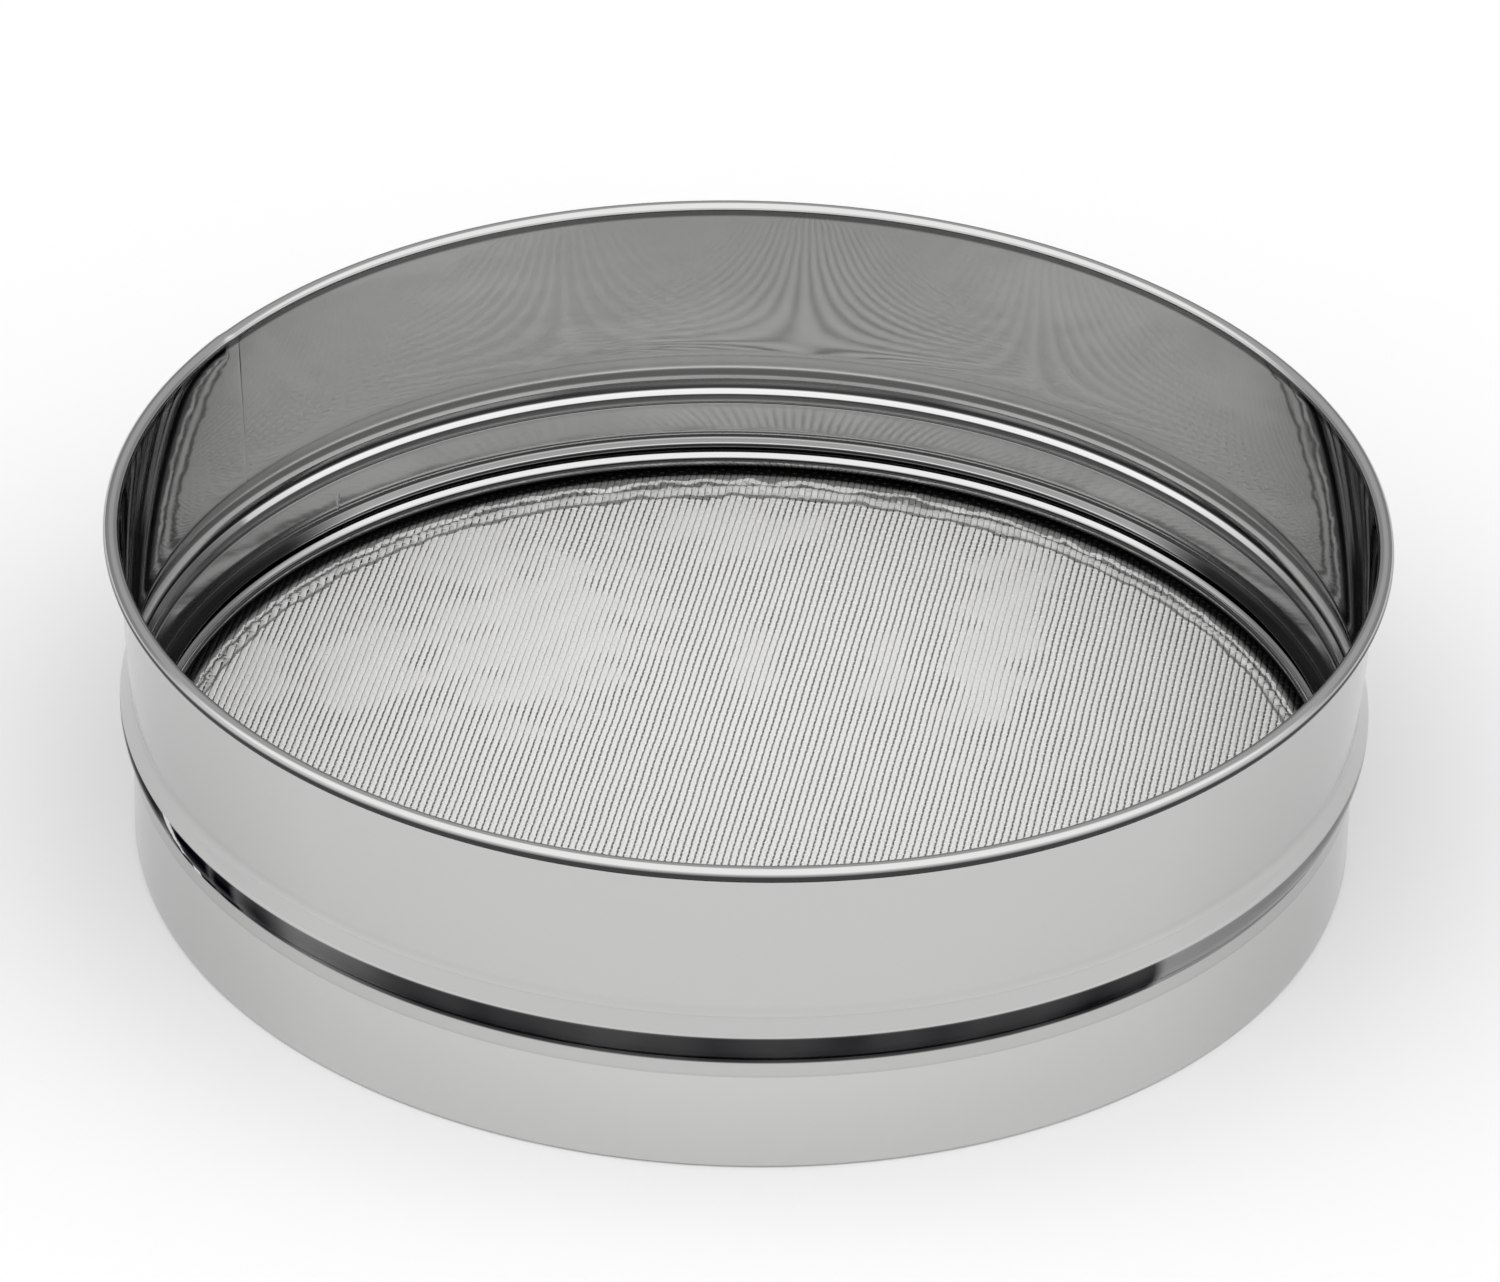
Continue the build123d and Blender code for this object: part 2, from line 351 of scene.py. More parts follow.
def rolledStainlessSheet(name, settings):
    # 304 stainless, cold rolled and lightly buffed: a soft mirror with a faint grain round the drum
    material, tree = newMaterial(name)
    sheetMap = addNode(tree, "ShaderNodeUVMap", {"uv_map": "sheet"})
    stretch = addNode(tree, "ShaderNodeMapping", {
        "Scale": (1 / (settings["grainLength"] * mm), 1 / (settings["grainWidth"] * mm), 1),
    }, {"Vector": sheetMap.outputs["UV"]})
    grain = addNode(tree, "ShaderNodeTexNoise", {"Scale": 1.0, "Detail": 2.0}, {
        "Vector": stretch.outputs["Vector"],
    })
    bump = addNode(tree, "ShaderNodeBump", {"Distance": settings["grainDepth"] * mm, "Strength": 1.0}, {
        "Height": grain.outputs["Fac"],
    })
    place = addNode(tree, "ShaderNodeTexCoord").outputs["Object"]
    parts = addNode(tree, "ShaderNodeSeparateXYZ", {}, {"Vector": place})
    height = parts.outputs["Z"]
    far = addNode(tree, "ShaderNodeAttribute", {"attribute_name": "far"}).outputs["Fac"]
    low, high = (edge * mm for edge in settings["ramp"])
    # roughness: by height in the bowl and even outside, times one more or less a share
    haze = addNode(tree, "ShaderNodeTexNoise", {"Scale": settings["hazeScale"], "Detail": 3.0}, {
        "Vector": place,
    })
    spread = settings["roughnessSpread"]
    varied = addNode(tree, "ShaderNodeMapRange", {"To Min": 1 - spread, "To Max": 1 + spread}, {
        "Value": haze.outputs["Fac"],
    })
    inner = addRamp(tree, height, inMetres(settings["innerRoughness"]), low, high)
    plain = addNode(tree, "ShaderNodeMix", {"data_type": "FLOAT", 3: settings["outerRoughness"]}, {
        "Factor": far, 2: inner,
    })
    roughness = addNode(tree, "ShaderNodeMath", {"operation": "MULTIPLY"}, {
        0: varied.outputs["Result"], 1: plain.outputs[0],
    })
    # film and painted shade by height, on either side of the sheet and on the roll; then what changes
    # with the bearing
    radius, side = sideways(tree, place)
    outside, bowl, roll, shoulder = (
        addRamp(tree, height, inMetres(settings[key]), low, high)
        for key in ("outside", "inside", "roll", "shoulder")
    )
    bearing = addNode(tree, "ShaderNodeMath", {"operation": "ARCTAN2"}, {
        0: parts.outputs["Y"], 1: parts.outputs["X"],
    }).outputs[0]
    step, dull = (
        addRamp(tree, bearing, [(math.radians(a - 180), d) for a, d in settings[key]], -math.pi, math.pi)
        for key in ("step", "dull")
    )
    # painted shade over the shoulder's bright reflection where it is dull
    dulled = addNode(tree, "ShaderNodeMath", {"operation": "MULTIPLY"}, {0: shoulder, 1: dull})
    inside = addNode(tree, "ShaderNodeMath", {"operation": "MAXIMUM"}, {0: bowl, 1: dulled.outputs[0]})
    patches = addNode(tree, "ShaderNodeTexNoise", {"Scale": settings["patchScale"], "Detail": 2.0}, {
        "Vector": place,
    })
    patchy = addNode(tree, "ShaderNodeMapRange", {
        "From Min": settings["patchFrom"], "From Max": settings["patchTo"],
        "To Min": 1.0, "To Max": settings["patchLeast"],
    }, {"Value": patches.outputs["Fac"]})
    held = addNode(tree, "ShaderNodeMath", {"operation": "MULTIPLY"}, {
        0: step, 1: patchy.outputs["Result"],
    })
    # distance in height from the crease's slanting line
    bearings = [math.radians(a - 180) for a in settings["creaseBearings"]]
    heights = [h * mm for h in settings["creaseHeights"]]
    slant = addNode(tree, "ShaderNodeMapRange", {
        "From Min": bearings[0], "From Max": bearings[1],
        "To Min": heights[0], "To Max": heights[1], "clamp": False,
    }, {"Value": bearing})
    above = addNode(tree, "ShaderNodeMath", {"operation": "SUBTRACT"}, {
        0: height, 1: slant.outputs["Result"],
    })
    off = addNode(tree, "ShaderNodeMath", {"operation": "ABSOLUTE"}, {0: above.outputs[0]})
    half = settings["creaseWidth"] / 2
    crease = addNode(tree, "ShaderNodeMapRange", {
        "From Min": half * mm, "From Max": (half + settings["creaseEdge"]) * mm,
    }, {"Value": off.outputs[0]})
    # only the step's painted shade fades by bearing and is broken by the crease's painted highlight
    inStep = addNode(tree, "ShaderNodeMath", {"operation": "GREATER_THAN", 1: settings["stepOver"]}, {
        0: outside,
    }).outputs[0]
    share = addNode(tree, "ShaderNodeMix", {"data_type": "FLOAT", 2: 1.0}, {
        "Factor": inStep, 3: held.outputs[0],
    })
    fadedByBearing = addNode(tree, "ShaderNodeMath", {"operation": "MULTIPLY"}, {0: outside, 1: share.outputs[0]})
    # painted shade at the drum's two sides, added to the film and the step's painted shade
    sideShaded = addNode(tree, "ShaderNodeMapRange", {
        "From Min": settings["sideFrom"], "From Max": settings["sideTo"], "To Max": settings["sideShade"],
    }, {"Value": side})
    filmedAndShaded = addNode(tree, "ShaderNodeMath", {"operation": "ADD", "use_clamp": True}, {
        0: fadedByBearing.outputs[0], 1: sideShaded.outputs["Result"],
    })
    bare = addNode(tree, "ShaderNodeMix", {"data_type": "FLOAT", 2: 1.0}, {
        "Factor": inStep, 3: crease.outputs["Result"],
    })
    stepped = addNode(tree, "ShaderNodeMath", {"operation": "MULTIPLY"}, {
        0: filmedAndShaded.outputs[0], 1: bare.outputs[0],
    }).outputs[0]
    onRoll = addNode(tree, "ShaderNodeMath", {
        "operation": "GREATER_THAN", 1: settings["rollFrom"] * mm,
    }, {0: radius})
    bowlSide = addNode(tree, "ShaderNodeMix", {"data_type": "FLOAT"}, {
        "Factor": onRoll.outputs[0], 2: inside.outputs[0], 3: roll,
    })
    filmAndPaintedShade = addNode(tree, "ShaderNodeMix", {"data_type": "FLOAT"}, {
        "Factor": far, 2: bowlSide.outputs[0], 3: stepped,
    })
    # the steel darkened by the film and by the painted shade
    colour = addNode(tree, "ShaderNodeMix", {
        "data_type": "RGBA", 6: linearFromHex(settings["steel"]), 7: linearFromHex(settings["filmAndPaintedShade"]),
    }, {"Factor": filmAndPaintedShade.outputs[0]})
    # thick painted shade outside dulls the glancing sheen too, keeping the painted band dark, and so
    # does the film high in the bowl
    thick = addNode(tree, "ShaderNodeMapRange", {
        "From Min": settings["thickFrom"], "From Max": settings["thickTo"],
    }, {"Value": stepped})
    outerThick = addNode(tree, "ShaderNodeMath", {"operation": "MULTIPLY"}, {
        0: thick.outputs["Result"], 1: far,
    })
    below = addNode(tree, "ShaderNodeMath", {
        "operation": "LESS_THAN", 1: settings["bowlFoot"] * mm,
    }, {0: height})
    outOfBowl = addNode(tree, "ShaderNodeMath", {"operation": "MAXIMUM"}, {0: far, 1: below.outputs[0]})
    edgeTint = addNode(tree, "ShaderNodeMix", {
        "data_type": "RGBA", 6: linearFromHex(settings["bowlGlance"]), 7: (1, 1, 1, 1),
    }, {"Factor": outOfBowl.outputs[0]})
    glance = addNode(tree, "ShaderNodeMix", {
        "data_type": "RGBA", 7: linearFromHex(settings["glance"]),
    }, {"Factor": outerThick.outputs[0], 6: edgeTint.outputs[2]})
    steel = addNode(tree, "ShaderNodeBsdfPrincipled", {"Metallic": 1.0}, {
        "Base Color": colour.outputs[2], "Roughness": roughness.outputs[0],
        "Normal": bump.outputs["Normal"], "Specular Tint": glance.outputs[2],
    })
    addNode(tree, "ShaderNodeOutputMaterial", {}, {"Surface": steel.outputs["BSDF"]})
    return material


ringFinish = {
    "steel": "#cbcbca",
    "roughness": 0.09,
    "roughnessSpread": 0.03,
    "hazeScale": 60.0, "hazeDetail": 3.0,
    "filmAndPaintedShade": "#161617",          # painted shade beside and under the two ribs
    "sectionEnd": 20.0,          # millimetres along the section that the two tables run over
    # millimetres along the section from the flange's back edge, and darkness of the painted shade
    "section": [(0.3, 0.0), (0.5, 0.97), (1.4, 0.97), (1.6, 0.45), (1.8, 0.04), (3.7, 0.04), (4.0, 0.97),
                (7.6, 0.93), (7.9, 0.6), (8.5, 0.5), (8.8, 0), (10.85, 0), (11.05, 0.88), (11.85, 0.88),
                (12.05, 0), (13.2, 0), (13.4, 0.97)],
    # the same at the drum's two sides, where the painted shade fills the ledge and the hollow
    "sideSection": [(0.3, 0.6), (1.1, 0.6), (1.3, 0.97), (8.9, 0.97), (9.3, 0.5), (10.3, 0.4),
                    (10.9, 0.1), (11.0, 0.0)],
    "sideFrom": 0.42, "sideTo": 0.66,        # square of x over the radius
}


def polishedStainlessBar(name, settings):
    # 304 stainless moulding, rolled and mirror polished: sharper reflections than the sheet
    material, tree = newMaterial(name)
    place = addNode(tree, "ShaderNodeTexCoord").outputs["Object"]
    sheetMap = addNode(tree, "ShaderNodeUVMap", {"uv_map": "sheet"})
    along = addNode(tree, "ShaderNodeSeparateXYZ", {}, {"Vector": sheetMap.outputs["UV"]}).outputs["Y"]
    everywhere, atSides = (
        addRamp(tree, along, inMetres(settings[key]), 0.0, settings["sectionEnd"] * mm)
        for key in ("section", "sideSection")
    )
    # painted shade at the drum's two sides
    near = addNode(tree, "ShaderNodeMapRange", {
        "interpolation_type": "SMOOTHSTEP",
        "From Min": settings["sideFrom"], "From Max": settings["sideTo"],
    }, {"Value": sideways(tree, place)[1]})
    paintedShade = addNode(tree, "ShaderNodeMath", {"operation": "MULTIPLY"}, {
        0: atSides, 1: near.outputs["Result"],
    })
    filmAndPaintedShade = addNode(tree, "ShaderNodeMath", {"operation": "MAXIMUM"}, {
        0: everywhere, 1: paintedShade.outputs[0],
    })
    # the steel darkened by the painted shade
    colour = addNode(tree, "ShaderNodeMix", {
        "data_type": "RGBA", 6: linearFromHex(settings["steel"]), 7: linearFromHex(settings["filmAndPaintedShade"]),
    }, {"Factor": filmAndPaintedShade.outputs[0]})
    steel = addNode(tree, "ShaderNodeBsdfPrincipled", {"Metallic": 1.0}, {
        "Base Color": colour.outputs[2], "Roughness": hazyRoughness(tree, place, settings),
    })
    addNode(tree, "ShaderNodeOutputMaterial", {}, {"Surface": steel.outputs["BSDF"]})
    return material


wireFinish = {
    "steel": "#f8f8f6",
    "metallic": 0.3,             # fine wire scatters light among itself, so it looks half matt
    "roughness": 0.45,
    "roughnessSpread": 0.06,
    "hazeScale": 35.0, "hazeDetail": 2.0,
    "shade": "#3c3b3b",          # painted shade low in the weave and on the warp wires' flanks, also used for the margin's painted ridge lines
    "shadeHold": 0.66,           # how dark it gets
    "shadeFrom": 0.72, "shadeTo": 1.0,       # depth at which the painted shade sets in, and is full
    "rubbedFilm": 0.07,          # darkness of the film on the places that are rubbed flat, where the painted shade is left out
    # painted light and dark lines on the ridges of the drawn-in margin: radius in mm at the drum's back
    # and darkness
    "margin": [(126.6, 0), (127.1, 0.72), (128.3, 0.72), (128.9, 0.22), (132.0, 0.22), (132.6, 0.8),
               (133.6, 0.8), (134.1, 0), (135.2, 0), (135.6, 0.72), (138.0, 0.8)],
    "marginRamp": (120.0, 145.0),            # radii in mm that the table runs over
    "marginPin": 137.6,          # radius that the margin is drawn in from
    "marginNarrow": 0.58,        # how much narrower it is at the drum's two sides
    "marginWander": 2.8,         # mm that the ridges wander from end to end
    "marginNoise": (0.3, 0.7),   # the noise that makes them do so, from end to end
    "marginWave": 8.0,           # mm from one bend of a ridge to the next
    "paintedShade": "#0b0b0c",         # painted shadow under the clamp ring's bead, and where it starts and is full
    "paintedShadeFrom": 137.2, "paintedShadeTo": 138.2,
    "paintedShadeSide": 0.2,           # mm that it reaches further in at the two sides
}


def drawnStainlessWire(name, settings):
    # 304 stainless, drawn and woven: brighter than the sheet, with a satin skin
    material, tree = newMaterial(name)
    place = addNode(tree, "ShaderNodeTexCoord").outputs["Object"]
    depth = addNode(tree, "ShaderNodeAttribute", {"attribute_name": "depth"})
    deep = addNode(tree, "ShaderNodeMapRange", {
        "From Min": settings["shadeFrom"], "From Max": settings["shadeTo"],
        "To Max": settings["shadeHold"],
    }, {"Value": depth.outputs["Fac"]})
    # where the weave is rubbed flat, the painted shade is left out
    rubbed = addNode(tree, "ShaderNodeAttribute", {"attribute_name": "rubbed"}).outputs["Fac"]
    kept = addNode(tree, "ShaderNodeMath", {"operation": "SUBTRACT", 0: 1.0}, {1: rubbed})
    shaded = addNode(tree, "ShaderNodeMath", {"operation": "MULTIPLY"}, {
        0: deep.outputs["Result"], 1: kept.outputs[0],
    })
    # a thin grey film lies over the places where the wires are flattened
    film = addNode(tree, "ShaderNodeMath", {"operation": "MULTIPLY", 1: settings["rubbedFilm"]}, {
        0: rubbed,
    })
    filmedAndShaded = addNode(tree, "ShaderNodeMath", {"operation": "MAXIMUM"}, {
        0: shaded.outputs[0], 1: film.outputs[0],
    })
    # radius drawn in: pin less (pin less r) over (1 less narrow times side)
    radius, side = sideways(tree, place)
    pin = settings["marginPin"] * mm
    left = addNode(tree, "ShaderNodeMath", {
        "operation": "MULTIPLY_ADD", 1: -settings["marginNarrow"], 2: 1.0,
    }, {0: side})
    reach = addNode(tree, "ShaderNodeMath", {"operation": "SUBTRACT", 0: pin}, {1: radius})
    wider = addNode(tree, "ShaderNodeMath", {"operation": "DIVIDE"}, {
        0: reach.outputs[0], 1: left.outputs[0],
    })
    drawn = addNode(tree, "ShaderNodeMath", {"operation": "SUBTRACT", 0: pin}, {1: wider.outputs[0]})
    # the margin's painted ridge lines are read at that radius plus a slow noise
    bends = addNode(tree, "ShaderNodeTexNoise", {
        "Scale": 1 / (settings["marginWave"] * mm), "Detail": 4.0, "Roughness": 0.65,
    }, {"Vector": place})
    wander = addNode(tree, "ShaderNodeMapRange", {
        "From Min": settings["marginNoise"][0], "From Max": settings["marginNoise"][1],
        "To Min": -settings["marginWander"] / 2 * mm, "To Max": settings["marginWander"] / 2 * mm,
    }, {"Value": bends.outputs["Fac"]})
    read = addNode(tree, "ShaderNodeMath", {"operation": "ADD"}, {
        0: drawn.outputs[0], 1: wander.outputs["Result"],
    })
    low, high = (edge * mm for edge in settings["marginRamp"])
    edge = addRamp(tree, read.outputs[0], inMetres(settings["margin"]), low, high)
    dark = addNode(tree, "ShaderNodeMath", {"operation": "MAXIMUM"}, {0: filmedAndShaded.outputs[0], 1: edge})
    # the wire darkened by the painted shade and the margin's painted ridge lines
    colour = addNode(tree, "ShaderNodeMix", {
        "data_type": "RGBA", 6: linearFromHex(settings["steel"]), 7: linearFromHex(settings["shade"]),
    }, {"Factor": dark.outputs[0]})
    # painted shadow under the clamp ring's bead, reaching further in at the two sides
    under = addNode(tree, "ShaderNodeMath", {
        "operation": "MULTIPLY_ADD", 1: settings["paintedShadeSide"] * mm,
    }, {0: side, 2: radius})
    paintedShade = addNode(tree, "ShaderNodeMapRange", {
        "From Min": settings["paintedShadeFrom"] * mm, "From Max": settings["paintedShadeTo"] * mm,
    }, {"Value": under.outputs[0]})
    skin = addNode(tree, "ShaderNodeMix", {"data_type": "RGBA", 7: linearFromHex(settings["paintedShade"])}, {
        "Factor": paintedShade.outputs["Result"], 6: colour.outputs[2],
    })
    steel = addNode(tree, "ShaderNodeBsdfPrincipled", {"Metallic": settings["metallic"]}, {
        "Base Color": skin.outputs[2], "Roughness": hazyRoughness(tree, place, settings),
    })
    addNode(tree, "ShaderNodeOutputMaterial", {}, {"Surface": steel.outputs["BSDF"]})
    return material


hoopSteel = rolledStainlessSheet("cold_rolled_buffed_stainless_sheet", hoopFinish)
ringSteel = polishedStainlessBar("polished_stainless_moulding", ringFinish)
wireSteel = drawnStainlessWire("drawn_and_woven_stainless_wire", wireFinish)
print("materials made")


# Upper hoop
upperHoop = {
    "sheet": 0.6,
    "collarInside": 144.05, "collarFoot": 25.1, "collarTop": 30.1,
    "shoulder": [(145.3, 31.6), (145.95, 33.4)],
    "crestInside": 146.3, "crestHeight": 35.2, "crestTop": 37.2,
    "wallInside": 144.0, "wallFoot": 41.8,
    "neckInside": 146.15, "curlMiddle": (148.02, 81.53), "curlRadius": 1.87,
    "curlTurn": 312.0, "curlStep": 12,       # degrees in all, and from point to point
    "bends": [0.9, 1.2, 3.0, 4.0, 3.0, 4.5],
    "turns": 620,
    # how far the sheet strays from round, mm; its waves: seed, how many, shortest and longest; how
    # much shorter they are upwards, and the heights over which they set in and die out
    "wave": 0.035, "waves": (3, 7, (38, 90)), "upwards": 1.4,
    "waveFoot": (26, 38), "waveTop": (83, 75),
    # weld of the hoop: degrees from +X, radius there, width and depth that it is ground to, mm, and
    # the height that it starts at
    "seam": 148.3, "seamRadius": 145, "weldWidth": 0.35, "weldDepth": 0.045, "weldFoot": 38,
    # how far the roll stands out past the weld, mm, from which height on, and over how many degrees
    # it rises and dies away
    "lift": 0.34, "liftHeights": (79.0, 80.0), "liftRise": 1.5, "liftFade": 6,
    # kink in the step below the crest, along the finish's crease: depth and half width, mm, and how
    # much of the crease's run it takes up
    "pinchDepth": 0.6, "pinchWidth": 0.9, "pinchRun": 1.2,
    "pinchBearings": [a + 180 for a in hoopFinish["creaseBearings"]],
    "pinchHeights": hoopFinish["creaseHeights"],
}


def upperHoopLoop(s):
    # the bowl's side of the sheet, from the collar's foot to the rim, then round the wire
    middle, radius = np.array(s["curlMiddle"]), s["curlRadius"]
    corners = [
        (s["collarInside"], s["collarFoot"]), (s["collarInside"], s["collarTop"]), *s["shoulder"],
        (s["crestInside"], s["crestHeight"]), (s["crestInside"], s["crestTop"]),
        (s["wallInside"], s["wallFoot"]), (s["neckInside"], middle[1]),
    ]
    points, lefts = roundedLine(corners, s["bends"])
    points, lefts = points[:-2], lefts[:-2]      # the curl starts there, with its own points
    steps = int(s["curlTurn"] / s["curlStep"])
    angles = math.radians(90) - np.radians(s["curlTurn"]) * np.linspace(0, 1, steps + 1)
    curlLefts = np.stack([-np.sin(angles), np.cos(angles)], 1)
    curl = middle + radius * curlLefts
    return sheetLoop(np.concatenate([points, curl]), np.concatenate([lefts, curlLefts]), s["sheet"])


def upperHoopWobble(s):
    waves = slowWaves(*s["waves"])
    first, last = s["pinchBearings"]
    top, foot = s["pinchHeights"]

    def wobble(angle, radius, height):
        # the sheet wanders a few hundredths of a millimetre; the weld is ground in a little
        fade = rise(height, *s["waveFoot"]) * rise(height, *s["waveTop"])
        arc = angle * radius.mean()
        radius = radius + s["wave"] * fade * waveSum(waves, arc, height * s["upwards"])
        onCurl = rise(height, *s["liftHeights"])
        ground = weldShare(s, angle) * s["weldDepth"] * (1 - onCurl) * (height > s["weldFoot"])
        radius = radius - ground
        # past the weld the roll stands out, and dies away over some degrees
        past = np.degrees(angle - math.radians(s["seam"]))
        lifted = s["lift"] * onCurl * rise(past, 0, s["liftRise"]) ** 2
        radius = radius + lifted * np.exp(-np.clip(past, 0, None) / s["liftFade"])
        # the pinch is a small dent on either side of its slanting line
        share = (np.degrees(angle) - first) / (last - first)
        fromCrease = height - (top + share * (foot - top))
        within = np.clip(s["pinchRun"] - np.abs(share - 0.5) * 2, 0, 1)
        radius = radius - s["pinchDepth"] * within * np.exp(-(fromCrease / s["pinchWidth"]) ** 2)
        return radius, height

    return wobble


loop, far = upperHoopLoop(upperHoop)
upperSheet = turnedPiece(
    "upper_hoop_sheet", loop, turnAngles(upperHoop["turns"], [upperHoop["seam"]]),
    hoopSteel, ["upper_hoop"], upperHoopWobble(upperHoop), {"far": far},
)
print("upper hoop turned,", len(upperSheet.data.polygons), "faces")


# Rim wire
rimWire = {"middle": (148.05, 81.53), "radius": 1.12, "sides": 14, "turns": 360}


def roundLoop(middle, radius, sides):
    # a circle of points about the middle
    angles = np.linspace(0, 2 * math.pi, sides, endpoint=False)
    return np.array(middle) + radius * np.stack([np.cos(angles), np.sin(angles)], 1)


turnedPiece(
    "rim_wire_round", roundLoop(rimWire["middle"], rimWire["radius"], rimWire["sides"]),
    turnAngles(rimWire["turns"], []), wireSteel, ["rim_wire"],
)
print("rim wire turned")


# Skirt hoop
skirtHoop = {
    "sheet": 0.6, "outside": 144.0, "lip": 2.2, "top": 27.7, "footBend": 0.9,
    "turns": 720,
    # waves and weld as on the upper hoop; the weld shows faintly in the bowl
    "wave": 0.03, "waves": (5, 6, (38, 80)), "upwards": 1.4,
    "waveFoot": (0, 6), "waveTop": (26, 21),
    "seam": 135.3, "seamRadius": 144, "weldWidth": 0.35, "weldDepth": 0.08,
}


def skirtLoop(s):
    # the outside of the sheet, from the turned-in foot up to the end inside the collar
    corners = [(s["outside"] - s["lip"], 0), (s["outside"], 0), (s["outside"], s["top"])]
    points, lefts = roundedLine(corners, [s["footBend"]], arcStep=12)
    loop, far = sheetLoop(points, -lefts, s["sheet"])
    return loop, 1 - far


def skirtWobble(s):
    waves = slowWaves(*s["waves"])

    def wobble(angle, radius, height):
        # the sheet wanders a few hundredths of a millimetre, and the weld is a shallow line in it
        fade = rise(height, *s["waveFoot"]) * rise(height, *s["waveTop"])
        arc = angle * s["seamRadius"]
        radius = radius + s["wave"] * fade * waveSum(waves, arc, height * s["upwards"])
        return radius - s["weldDepth"] * weldShare(s, angle) * fade, height

    return wobble


loop, far = skirtLoop(skirtHoop)
skirtSheet = turnedPiece(
    "skirt_hoop_sheet", loop, turnAngles(skirtHoop["turns"], [skirtHoop["seam"]]),
    hoopSteel, ["skirt_hoop"], skirtWobble(skirtHoop), {"far": far},
)
print("skirt hoop turned,", len(skirtSheet.data.polygons), "faces")


# Clamp rings
clampRings = {
    "half": 4.4, "back": 143.35,
    "topEdge": 0.4, "footEdge": 0.45,        # rounding of the flange's two back edges
    "bead": 2.75, "beadMiddle": 141.95,      # the thick rib, against the cloth
    "lip": 0.34, "lipMiddle": 140.25, "lipHeight": 3.35,     # the thin rib's edge
    "hollow": (141.6, 142.0), "hollowDrop": 0.25,            # floor of the hollow between the ribs
    "lowerHeight": 5.02, "upperHeight": 14.66,
    "turns": 720,
}


def ringLoop(s, height, upright):
    # a flange that ends in a thin lip, a hollow below it, then a bead; heights from the ring's
    # middle, turned over for the lower ring so that both beads hold the cloth
    def arc(radius, middle, level, start, end, steps):
        angles = np.radians(np.linspace(start, end, steps + 1))
        return np.stack([middle + radius * np.cos(angles), level + radius * np.sin(angles)], 1)

    half, back, lip, top, foot = (s[key] for key in ("half", "back", "lip", "topEdge", "footEdge"))
    underLip = s["lipHeight"] - lip
    loop = np.concatenate([
        arc(top, back - top, half - top, 0, 80, 4),
        arc(lip, s["lipMiddle"], s["lipHeight"], 98, 270, 10),
        [(s["hollow"][0], underLip), (s["hollow"][1], underLip - s["hollowDrop"])],
        arc(s["bead"], s["beadMiddle"], s["bead"] - half, 92, 270, 30),
        arc(foot, back - foot, foot - half, -90, 0, 4),
    ])
    loop[:, 1] = height + (loop[:, 1] if upright else -loop[:, 1])
    return loop


for name, key, node in (
    ("lower_ring_bar", "lowerHeight", "lower_clamp_ring"),
    ("upper_ring_bar", "upperHeight", "upper_clamp_ring"),
):
    turnedPiece(
        name, ringLoop(clampRings, clampRings[key], key == "upperHeight"),
        turnAngles(clampRings["turns"], []), ringSteel, [node],
    )
print("clamp rings turned")


# Woven cloth
cloth = {
    "pitch": 1.65,               # wire to wire, mm
    "turn": -9.0,                # degrees from the drum's axes to the wires
    "edge": 142.9,               # where the wires are cut, under the clamp ring
    "height": 9.84,              # middle of the cloth
    "steps": 2,                  # points along a wire from one crossing to the next
    "parts": 3,                  # pieces that each set of wires is split into
    # each flattened wire: width and height, how high its middle runs, how far it waves and whether it
    # starts over or under; the power that squares its sides so that its top lies flat; shares by which
    # it is wider where rubbed, and narrower where it is on top; how deep it lies between crossings,
    # and what its flanks keep of the shade where it is rubbed; seed, number and lengths of its strays
    "warp": {"width": 1.34, "height": 0.34, "level": 0.05, "wave": 0.06, "over": 1, "sides": 6,
             "power": 0.5, "spread": 0.24, "bead": 0.07, "sunk": 0, "flankKeeps": 0,
             "strays": (15, 6, (6, 24))},
    "weft": {"width": 0.62, "height": 0.22, "level": -0.01, "wave": 0.24, "over": -1, "sides": 4,
             "power": 1.0, "spread": 0, "bead": 0, "sunk": 1, "flankKeeps": 0.5,
             "strays": (16, 6, (6, 24))},
    "wander": 0.16,              # how far the wires stray sideways, mm
    "topTurn": 1.2,              # how soon a wire's top gives way to its flanks, by the angle's sine
    # places rubbed flat, where the painted shade is left out: middle, half width and half length in mm,
    # and how much
    "rubbedPlaces": [(-52, 60, 24, 36, 1.0), (-92, 45, 12, 22, 0.9), (62, 66, 10, 44, 1.0),
                     (-3, 113, 22, 12, 0.7), (2, 50, 6, 15, 0.6), (34, 48, 5, 15, 0.6),
                     (-119, 38, 8, 16, 0.8), (-70, 100, 16, 14, 0.8)],
    # their edges: clouds and how strong, how far out they reach and fade, in half widths; then the
    # same for the rubbed margin, in mm
    "clouds": (14, 7, (7, 22)), "cloudy": 0.8, "rubbedReach": 1.3, "rubbedFade": 0.65,
    "marginCloudy": 2, "marginFade": 3,
    # slow swell of the stretched cloth, its waves, and the radii over which it dies out
    "swell": 0.30, "swells": (11, 6, (45, 95)), "swellEdge": (132, 118),
    # where the clamp has drawn the cloth in: how high its ridges are and between which radii
    "crinkle": 0.42, "crinkleFrom": 126.0, "crinkleTo": 138.0,
    # one ridge to the next, their middle radius, how far they slide in and out, and how strong the
    # ripples on them are and how much shorter across
    "ridgePitch": 4.2, "ridgeRadius": 135, "slide": 1.6, "slides": (13, 5, (20, 60)),
    "ripple": 0.9, "ripples": (12, 6, (9, 26)), "rippleAcross": 2.5,
    "pin": wireFinish["marginPin"], "narrow": wireFinish["marginNarrow"],
}


def drawnRadius(s, x, y):
    # radius as the margin reads it: pin less (pin less r) over (1 less narrow times (x / r) squared)
    r = np.maximum(np.hypot(x, y), 1)
    return s["pin"] - (s["pin"] - r) / (1 - s["narrow"] * (x / r) ** 2)


